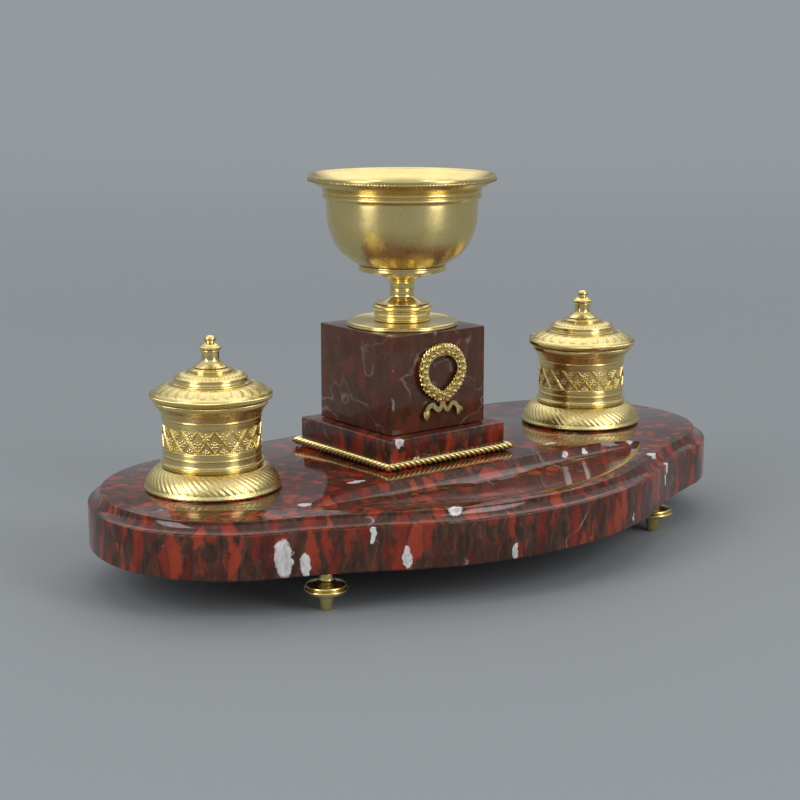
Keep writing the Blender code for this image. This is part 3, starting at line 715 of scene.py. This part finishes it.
# %% A ring builder for milling and flutes
def fluted(name, at, rings, flutes, shape, twist=0.0):
    """rings are (radius, height, relief) in mm, shape how far each column of a flute stands.

    A list of shapes, one for each ring with relief, makes a flute that changes down its length.
    """
    shapes = shape if isinstance(shape[0], tuple) else [shape] * len(rings)
    columns = flutes * len(shapes[0])
    nothing_selected()
    radius, height, _ = rings[0]
    bpy.ops.mesh.primitive_circle_add(vertices=columns, radius=radius * MM,
                                      location=Vector(at) + Vector((0, 0, height * MM)))
    piece = bpy.context.object
    piece.name = name
    edit_all()
    turned_by = [0.0]
    span = sum(math.dist(a[:2], b[:2]) for a, b in zip(rings, rings[1:]) if a[2] and b[2])
    for before, after in zip(rings, rings[1:] + rings[:1]):
        extrude_by((0.0, 0.0, (after[1] - before[1]) * MM))
        scale = after[0] / before[0]
        bpy.ops.transform.resize(value=(scale, scale, 1.0), center_override=at)
        swing = 0.0
        if twist and before[2] and after[2]:
            swing = twist * math.dist(before[:2], after[:2]) / span
            turn_by(swing, at)
        turned_by.append(turned_by[-1] + swing)
    turn_by(-turned_by[-1], at)
    leave_edit()
    # Vertices were made ring by ring, and each ring runs round in the circle's own order.
    step = 360.0 / columns
    for ring, (radius, height, relief) in enumerate(rings):
        if not relief:
            continue
        carved = [other for other in rings[:ring] if other[2]]
        for column, stand in enumerate(shapes[len(carved)]):
            if not stand:
                continue

            def on_column(p):
                flat = Vector((p.x - at[0], p.y - at[1]))
                angle = math.degrees(math.atan2(flat.y, flat.x)) - turned_by[ring]
                return (abs(p.z - at[2] - height * MM) < 0.01 * MM
                        and abs(flat.length - radius * MM) < 0.05 * MM
                        and round(angle / step) % len(shapes[0]) == column)

            select_where(piece, on_column)
            grow = (radius + relief * stand) / radius
            bpy.ops.transform.resize(value=(grow, grow, 1.0), center_override=at)
            leave_edit()
    settle(piece)
    return piece


rim_milling = fluted("cup_rim_milling", plinth_at,
                     [(44.5, 182.3, 0.0), (46.75, 182.3, 0.0), (46.75, 181.9, 0.45),
                      (46.4, 181.2, 0.45), (45.4, 181.0, 0.0), (44.5, 181.0, 0.0)],
                     180, (1.0, 0.0, 0.0))
finished(rim_milling, chased_gilt, angle=60)
print("milling faces:", len(rim_milling.data.polygons))

# %% [markdown]
# ## Feet
# Four turned toes: a tapered tip, a dish with twin beads, a neck with small collars.

# %% Feet
foot_top = (slab_low.z - 0.3 * MM) / MM
foot_line = ([(0.0, foot_top), (4.2, foot_top), (4.3, 18.6)] + bead(3.8, 18.2, 17.2, 0.5, 5)
             + flowing([(3.6, 17.0), (3.45, 15.8), (3.6, 14.4), (4.4, 13.5)], 3)
             + [(5.6, 12.9), (7.6, 12.5)] + bead(8.3, 12.3, 10.9, 0.8, 6)
             + bead(8.9, 10.7, 9.0, 1.1, 7)
             + flowing([(8.7, 8.6), (7.8, 7.8), (6.0, 7.2), (4.3, 6.9)], 3)
             + flowing([(3.9, 6.3), (3.5, 4.2), (3.0, 1.2)], 3)
             + [(2.5, 0.3), (2.1, 0.0), (0.0, 0.0)])
for node in ("foot_front_left", "foot_front_right", "foot_back_left", "foot_back_right"):
    spot = middle(node)
    foot = turned(node + "_turned", foot_line, (spot.x, spot.y, 0.0), 48)
    finished(foot, cast_gilt, [node])
print("feet done")

# %% [markdown]
# ## Inkwells
# Each well is a bell foot with slanting flutes, a drum with a lattice band, and a domed lid with a
# ring of leaves, a milled rim and a finial.

# %% Inkwell lines
WELL_BORE = 2.9
bell_rings = [(24.6, 10.8, 0.0), (25.2, 10.5, 0.0), (25.6, 10.1, 0.25), (26.5, 9.6, 0.26),
              (27.5, 8.9, 0.26), (28.6, 7.8, 0.26), (29.5, 6.6, 0.26), (30.2, 5.4, 0.26),
              (30.7, 4.3, 0.26), (31.0, 3.4, 0.2), (31.2, 2.9, 0.0), (31.3, 2.5, 0.0),
              (31.7, 2.0, 0.0), (32.0, 1.5, 0.0), (32.1, 1.1, 0.0), (31.9, 0.6, 0.0),
              (31.5, 0.3, 0.0), (WELL_BORE, 0.3, 0.0), (WELL_BORE, 10.8, 0.0)]
drum_line = ([(25.2, 42.2), (25.5, 42.0), (25.6, 39.6), (25.4, 39.0)]
             + flowing([(25.1, 38.6), (24.7, 38.0)], 2) + [(24.4, 37.9), (24.2, 37.0)]
             + [(23.9, 36.9), (23.7, 36.0)] + flowing([(23.4, 35.6), (23.2, 34.8)], 2)
             + bead(23.0, 34.5, 33.7, 0.4, 5) + [(22.9, 33.5), (22.9, 31.1)]
             + [(22.5, 30.9), (22.5, 20.4)] + bead(22.8, 20.2, 19.3, 0.45, 5)
             + [(22.9, 19.1), (22.9, 17.3)] + bead(22.95, 17.1, 16.3, 0.4, 5)
             + [(22.9, 16.1), (22.9, 13.9), (23.2, 13.4)] + bead(23.5, 13.3, 12.2, 0.8, 6)
             + [(23.4, 12.0), (23.3, 11.3), (24.0, 11.1), (WELL_BORE, 11.1), (WELL_BORE, 13.2),
                (7.0, 13.2), (7.0, 16.0), (20.3, 16.0), (20.3, 42.2)])
sleeve_line = [(22.58, 30.8), (22.58, 20.5), (21.8, 20.5), (21.8, 30.8)]
liner_line = [(0.0, 19.0), (14.6, 19.0), (16.2, 19.6), (16.8, 20.8), (16.8, 39.1), (17.2, 39.6),
              (18.2, 39.8), (19.2, 39.6), (19.6, 39.1), (19.6, 17.2), (18.6, 16.3), (0.0, 16.3)]
lid_line = ([(8.0, 56.6), (9.9, 56.0), (10.3, 56.0), (10.5, 55.7), (10.3, 55.3), (10.2, 54.9)]
            + flowing([(10.8, 54.7), (13.6, 53.8), (16.2, 52.9)], 4)
            + [(16.5, 53.1)] + bead(16.9, 52.9, 52.1, 0.5, 4)
            + [(17.0, 51.9), (16.9, 51.3), (17.0, 51.3), (17.2, 50.5), (18.1, 50.2)]
            + bead(18.3, 50.1, 49.5, 0.5, 4)
            + flowing([(19.2, 49.3), (20.8, 48.6), (23.6, 47.1), (25.8, 46.1)], 3)
            + [(26.1, 46.2)] + flowing([(26.6, 46.0), (27.2, 45.7), (27.7, 45.3)], 3)
            + [(27.9, 44.9), (27.8, 42.7), (27.5, 42.5)]
            + [(19.8, 42.5), (19.8, 40.7), (18.4, 40.7), (18.4, 46.4), (15.4, 49.2), (9.0, 52.4),
               (WELL_BORE, 53.4), (WELL_BORE, 56.6)])
finial_line = (flowing([(0.0, 71.6), (1.5, 71.3), (2.5, 70.6), (2.8, 69.8), (2.5, 69.0),
                        (2.1, 68.5)], 3)
               + [(2.2, 68.0), (3.2, 67.6), (4.4, 66.9)] + bead(4.7, 66.6, 65.4, 0.9, 5)
               + [(4.7, 65.1)] + bead(4.1, 64.9, 64.1, 0.6, 4) + [(4.1, 63.9), (4.1, 60.6)]
               + flowing([(4.3, 60.0), (5.2, 58.9), (6.6, 57.8), (7.8, 57.1)], 3)
               + [(7.8, 56.9), (2.5, 56.9), (2.5, 51.6), (0.0, 51.6)])
print("drum points:", len(drum_line), "lid points:", len(lid_line))

# %% [markdown]
# ## Lattice, leaves and milled rims
# Each drum has a chased band: double strips cross to make eighteen diamonds, on a stippled
# ground, with a small rosette in each.  Both sets of strips are the fluted ring with a thin
# flute and opposite twists; only the strips stand out of a thin matted sleeve.
# The lid has a ring of pointed leaves, whose shape narrows from ring to ring, and the rims of
# lid and drum are milled with fine teeth.

# %% Chased and milled bands
DIAMONDS = 18
FLOWER_RADIUS = 22.55
LEAVES = 26
strip = (1.0, 0.1, 1.0) + (0.0,) * 15
leaf_shapes = [(0.0, 0.5, 0.9, 0.5, 1.0, 0.5, 0.9, 0.5), (0.0, 0.7, 0.9, 0.5, 1.0, 0.5, 0.9, 0.7),
               (0.0, 0.6, 0.9, 0.6, 1.0, 0.6, 0.9, 0.6), (0.0, 0.0, 0.7, 0.6, 1.0, 0.6, 0.7, 0.0),
               (0.0, 0.0, 0.0, 0.6, 1.0, 0.6, 0.0, 0.0)]
leaf_rings = [(19.6, 49.0, 0.0), (19.9, 49.2, 0.7), (21.1, 48.6, 0.9), (22.4, 47.95, 0.9),
              (23.8, 47.15, 0.9), (25.0, 46.5, 0.7), (25.6, 46.1, 0.0), (25.3, 45.2, 0.0),
              (19.6, 48.2, 0.0)]
crown_rings = [(11.4, 54.4, 0.0), (12.0, 54.45, 0.6), (13.4, 54.0, 0.8), (14.8, 53.5, 0.6),
               (15.3, 53.1, 0.0), (11.4, 53.1, 0.0)]
lid_rim_rings = [(26.9, 45.5, 0.0), (27.6, 45.25, 0.0), (27.95, 44.95, 0.35), (28.05, 44.4, 0.35),
                 (28.05, 43.3, 0.35), (27.9, 42.8, 0.35), (27.7, 42.6, 0.0), (26.9, 42.6, 0.0)]
drum_rim_rings = [(25.2, 42.1, 0.0), (25.7, 42.15, 0.0), (25.95, 41.8, 0.3), (26.0, 41.3, 0.3),
                  (26.0, 40.2, 0.3), (25.9, 39.8, 0.3), (25.7, 39.4, 0.0), (25.2, 39.3, 0.0)]
lattice_heights = [20.6 + 10.1 * i / 12 for i in range(13)]


def rosette(name):
    """A five-petalled flower of about 4 mm, lying in the XZ plane and facing -Y."""
    petals = []
    for petal in range(6):
        nothing_selected()
        turn = math.radians(72 * petal)
        reach = 0.0 if petal == 5 else 1.25
        bpy.ops.mesh.primitive_uv_sphere_add(
            segments=6, ring_count=4, radius=0.75 * MM,
            location=(reach * MM * math.sin(turn), 0.0, reach * MM * math.cos(turn)))
        petals.append(bpy.context.object)
        bpy.context.object.scale = (1.0, 0.5, 1.0)
    return joined(name, petals)


def lattice_band(name, at):
    """Crossed strips with a rosette in each diamond, as one piece round a drum."""
    rings = ([(21.8, 20.6, 0.0)] + [(22.4, z, 0.6) for z in lattice_heights]
             + [(21.8, 30.7, 0.0)])
    parts = [fluted(name + "_strips", at, rings, DIAMONDS, strip, twist=sign * 20.0)
             for sign in (1, -1)]
    flower = rosette(name + "_rosette")
    # Strips leave the top rim at 1.1 degrees, cross halfway down and cross again at the foot.
    for index in range(3 * DIAMONDS):
        row = index % 3
        height = (25.65, 29.3, 22.0)[row]
        turn = math.radians((11.1, 1.1, 1.1)[row] + 360 / DIAMONDS * (index // 3))
        place = Vector(at) + Vector((FLOWER_RADIUS * MM * math.sin(turn),
                                     -FLOWER_RADIUS * MM * math.cos(turn), height * MM))
        parts.append(duplicated(flower, place, (0.0, 0.0, turn)))
    bpy.data.objects.remove(flower)
    band = joined(name, parts)
    settle(band)
    return band


print("band makers ready")

# %% Inkwells on both sides
for side in ("left", "right"):
    at = well_at[side]
    lid_body = "lid_" + side
    satin_gilt = well_gilt[side]
    bell = fluted("inkwell_bell_" + side, at, bell_rings, 60, (0.7, 1.0, 0.7, 0.0, 0.0), twist=17.0)
    finished(bell, chased_gilt, ["inkwell_foot_" + side], angle=50)
    drum = turned("inkwell_drum_" + side, drum_line, at, 128, 0.08)
    finished(drum, satin_gilt, ["inkwell_body_" + side])
    sleeve = turned("lattice_ground_" + side, sleeve_line, at, 96)
    finished(sleeve, matted_gilt)
    lattice = lattice_band("inkwell_lattice_" + side, at)
    finished(lattice, cast_gilt, angle=50)
    drum_rim = fluted("inkwell_milled_rim_" + side, at, drum_rim_rings, 210, (1.0, 0.0))
    finished(drum_rim, burnished_gilt, angle=60)
    liner = turned("ink_cup_" + side, liner_line, at, 64)
    finished(liner, porcelain, ["ink_liner_" + side])
    lid = turned("inkwell_dome_" + side, lid_line, at, 128, 0.08)
    finished(lid, satin_gilt, ["inkwell_lid_" + side], lid_body)
    leaves = fluted("lid_leaves_" + side, at, leaf_rings, LEAVES, leaf_shapes)
    finished(leaves, chased_gilt, body=lid_body, angle=50)
    crown = fluted("lid_crown_" + side, at, crown_rings, 44, (1.0, 0.6, 0.0, 0.0))
    finished(crown, chased_gilt, body=lid_body, angle=50)
    lid_rim = fluted("lid_milled_rim_" + side, at, lid_rim_rings, 240, (1.0, 0.0))
    finished(lid_rim, burnished_gilt, body=lid_body, angle=60)
    finial = turned("lid_knob_" + side, finial_line, at, 48)
    finished(finial, burnished_gilt, ["lid_finial_" + side], lid_body)
print("wells done; lattice faces:", len(lattice.data.polygons))

# %% [markdown]
# ## Laurel wreath
# A cast mount is pinned to the block's front: two laurel branches that meet at the top and are
# tied with a ribbon below.  One leaf and one berry are modelled, then copied along each branch,
# a leaf to either side and one on top at every step, round a thin core.  The ribbon is a strip
# swept along a line that curls back and forth.

# %% Leaf, berry and sweep
WREATH_BACK = block_low.y / MM - 0.3
LEFT_BRANCH = flowing([(0.6, 75.6), (-4.6, 78.8), (-9.2, 82.4), (-11.5, 88.0), (-11.2, 93.0),
                       (-8.4, 97.4), (-3.6, 99.8), (0.6, 100.2)], 6)
RIGHT_BRANCH = flowing([(0.6, 75.6), (5.0, 78.4), (9.6, 82.2), (12.2, 87.2), (12.2, 92.0),
                        (9.8, 96.4), (5.6, 99.4), (0.8, 100.0)], 6)
RIBBON_LEFT = flowing([(0.6, 76.4), (0.4, 72.6), (-1.4, 70.0), (-4.0, 71.6), (-5.6, 73.0),
                       (-8.0, 71.8), (-9.2, 69.4), (-9.6, 67.4)], 5)
RIBBON_RIGHT = flowing([(0.8, 76.0), (1.4, 72.6), (3.6, 69.6), (5.4, 71.0), (7.0, 72.6),
                        (9.2, 71.8), (10.6, 69.8), (11.2, 68.6)], 5)


def laurel_leaf():
    """A pointed leaf 5 mm long, pointing along +X, with a raised midrib on its -Y side."""
    nothing_selected()
    bpy.ops.mesh.primitive_circle_add(vertices=10, radius=1.0 * MM, fill_type='NGON',
                                      rotation=(math.pi / 2, 0.0, 0.0))
    leaf = bpy.context.object
    leaf.name = "laurel_leaf"
    bpy.ops.object.transform_apply()
    edit_all()
    bpy.ops.transform.resize(value=(2.4, 1.0, 1.25), center_override=(0.0, 0.0, 0.0))
    extrude_by((0.0, -0.35 * MM, 0.0))
    bpy.ops.mesh.poke()
    leave_edit()
    select_where(leaf, lambda p: abs(p.x) < 0.1 * MM and abs(p.z) < 0.1 * MM)
    bpy.ops.transform.translate(value=(0.0, -0.45 * MM, 0.0))
    settle(leaf)
    return leaf


def on_block(x, z, proud):
    """A place in front of the block's face, in millimetres."""
    return Vector((x, WREATH_BACK - proud, z)) * MM


def strip_along(name, line, width, thick, proud):
    """A ribbon swept along an (x, z) line: an edge extruded from point to point."""
    nothing_selected()
    points = [on_block(x, z, proud) for x, z in line]
    bpy.ops.mesh.primitive_cube_add(size=MM, location=points[0])
    piece = bpy.context.object
    piece.name = name
    piece.scale = (width, thick, 0.2)
    bpy.ops.object.transform_apply(location=False, rotation=False, scale=True)
    heading = points[1] - points[0]
    piece.rotation_euler = (0.0, math.atan2(heading.x, heading.z), 0.0)
    bpy.ops.object.transform_apply()
    lead = points[0]
    select_where(piece, lambda p: (p - lead).dot(heading) > 0)
    for here, there in zip(points, points[1:]):
        extrude_by(there - here)
        after = there - here
        turn = math.degrees(math.atan2(after.x, after.z) - math.atan2(heading.x, heading.z))
        turn = (turn + 180) % 360 - 180
        turn_by(turn, there, 'Y')
        heading = after
    settle(piece)
    return piece


leaf = laurel_leaf()
nothing_selected()
bpy.ops.mesh.primitive_uv_sphere_add(segments=8, ring_count=6, radius=1.0 * MM)
berry = bpy.context.object
settle(berry)
print("leaf faces:", len(leaf.data.polygons), "berry faces:", len(berry.data.polygons))

# %% Wreath assembled
parts = []
for name, line, hand in (("left_branch", LEFT_BRANCH, -1), ("right_branch", RIGHT_BRANCH, 1)):
    parts.append(strip_along(name, line, 1.2, 1.4, 0.7))
    steps = len(line) - 1
    for index in range(2, steps, 2):
        x, z = line[index]
        heading = Vector((line[index + 1][0] - x, line[index + 1][1] - z))
        lean = math.atan2(heading.y, heading.x)
        for side_turn, out, tip in ((50, 1.2, 0.45), (-50, 1.2, -0.45), (15 * hand, 0.0, 0.3)):
            across = lean + math.radians(90 if side_turn > 0 else -90)
            place = on_block(x + out * math.cos(across), z + out * math.sin(across),
                             1.5 if out else 2.1)
            parts.append(duplicated(leaf, place, (0.0, -lean - math.radians(side_turn), tip)))
        across = lean + math.radians(90 if index % 4 else -90)
        place = on_block(x + 1.4 * math.cos(across), z + 1.4 * math.sin(across), 2.5)
        parts.append(duplicated(berry, place, (0.0, 0.0, 0.0)))
parts.append(strip_along("ribbon_left", RIBBON_LEFT, 2.3, 1.1, 1.2))
parts.append(strip_along("ribbon_right", RIBBON_RIGHT, 2.1, 1.1, 1.3))
for x, z, lean in ((0.7, 75.2, 0.0), (-9.9, 67.9, 2.0), (-8.8, 67.9, 1.2), (11.6, 69.3, -0.6),
                   (11.0, 68.3, -1.6)):
    parts.append(duplicated(leaf, on_block(x, z, 1.6), (0.0, -lean, 0.0)))
wreath = joined("laurel_wreath_mount", parts)
settle(wreath)
finished(wreath, cast_gilt, ["laurel_wreath"], angle=40)
bpy.data.objects.remove(leaf)
bpy.data.objects.remove(berry)
print("wreath pieces:", len(parts), "faces:", len(wreath.data.polygons))

# %% [markdown]
# ## CAD pieces that stay
# Hinges, pins, bolts, washers and nuts already have their real shape; they only need their metal.

# %% Finishes on the CAD pieces that stay
for name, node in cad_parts.items():
    if node.hide_render:
        continue
    steel = any(word in name for word in ("washer", "nut", "bolt", "rod", "hinge_pin"))
    node.data.materials.clear()
    node.data.materials.append(dark_steel if steel else burnished_gilt)
    print("kept:", name, "steel" if steel else "gilt bronze")

# %% [markdown]
# ## Studio
# The inkstand stands on grey paper that curves up all round it, so no horizon shows from any
# side; the paper is a little lighter away from the lights, which keeps its tone even.  Two soft
# boxes in front draw the bright bars on the metal, and a large one above gives even light.

# %% Floor and backdrop
def studio_paper():
    """Matt grey paper with a fine grain, painted lighter far away to make up for the light that falls
    off there.
    """
    made, tree, shader, place = new_material("matt_grey_paper")
    grain = add(tree, "TexNoise", {"Vector": place, "Scale": 900.0, "Detail": 2.0})
    away = add(tree, "VectorMath", {0: place}, operation='LENGTH')
    share = add(tree, "MapRange", {"Value": away, "From Min": 0.3, "From Max": 2.9},
                interpolation_type='SMOOTHSTEP')
    # Painted light: the paper is painted darker near the inkstand, where the lights fall strongest,
    # and lighter far away.
    near = ramp(tree, grain, [(0.3, "#888C8F"), (0.7, "#8C9093")])
    far = ramp(tree, grain, [(0.3, "#A1A5A9"), (0.7, "#A5A9AD")])
    tone = add(tree, "Mix", {"Factor": share, "A": near, "B": far}, data_type='RGBA')
    feed(tree, shader, {"Base Color": tone, "Roughness": 0.9, "Specular IOR Level": 0.1})
    return made


SWEEP_FLAT = 1800.0
SWEEP_CURVE = 1400.0
curve = [(SWEEP_FLAT + SWEEP_CURVE * math.sin(t), SWEEP_CURVE * (1 - math.cos(t)))
         for t in [math.pi / 2 * i / 16 for i in range(17)]]
sweep = turned("paper_sweep", [(0.0, 0.0)] + curve, (0.0, 0.0, 0.0), 96)
edit_all()
bpy.ops.mesh.normals_make_consistent(inside=True)
leave_edit()
bpy.ops.object.shade_smooth()
sweep.data.materials.append(studio_paper())
print("sweep is", round(2 * (SWEEP_FLAT + SWEEP_CURVE) / 1000, 1), "m across")

# %% Lights
LIGHT_AIM = Vector((0.0, 0.0, 0.09))


def soft_box(name, direction, distance, size, power):
    """An area light that faces the object from a direction (azimuth, height) in degrees."""
    azimuth, height = (math.radians(a) for a in direction)
    offset = Vector((math.sin(azimuth) * math.cos(height), -math.cos(azimuth) * math.cos(height),
                     math.sin(height))) * distance
    data = bpy.data.lights.new(name, 'AREA')
    data.shape = 'RECTANGLE'
    data.size, data.size_y = size
    data.energy = power
    light = bpy.data.objects.new(name, data)
    bpy.context.scene.collection.objects.link(light)
    light.location = LIGHT_AIM + offset
    light.rotation_euler = (-offset).to_track_quat('-Z', 'Y').to_euler()


soft_box("left_soft_box", (-91.0, 27.0), 1.6, (0.6, 1.2), 10.0)
soft_box("right_soft_box", (15.0, 27.0), 1.6, (0.6, 1.2), 10.0)
soft_box("top_soft_box", (140.0, 60.0), 3.0, (3.0, 3.0), 22.0)
world = bpy.data.worlds.new("studio_air")
bpy.context.scene.world = world
world.use_nodes = True
feed(world.node_tree, world.node_tree.nodes["Background"],
     {"Color": colour("#E4E6E8"), "Strength": 0.9})

# %% Camera
lens = bpy.data.cameras.new("camera")
lens.sensor_width = 36.0
lens.lens = 79.0605
camera = bpy.data.objects.new("camera", lens)
bpy.context.scene.collection.objects.link(camera)
camera.location = (-0.5413, -0.6573, 0.2507)
camera.rotation_euler = Vector((0.6045, 0.7704, -0.2025)).to_track_quat('-Z', 'Y').to_euler()
bpy.context.scene.camera = camera
bpy.context.scene.view_settings.view_transform = 'Standard'
print("camera at", tuple(camera.location), "lens", round(lens.lens, 2), "mm")
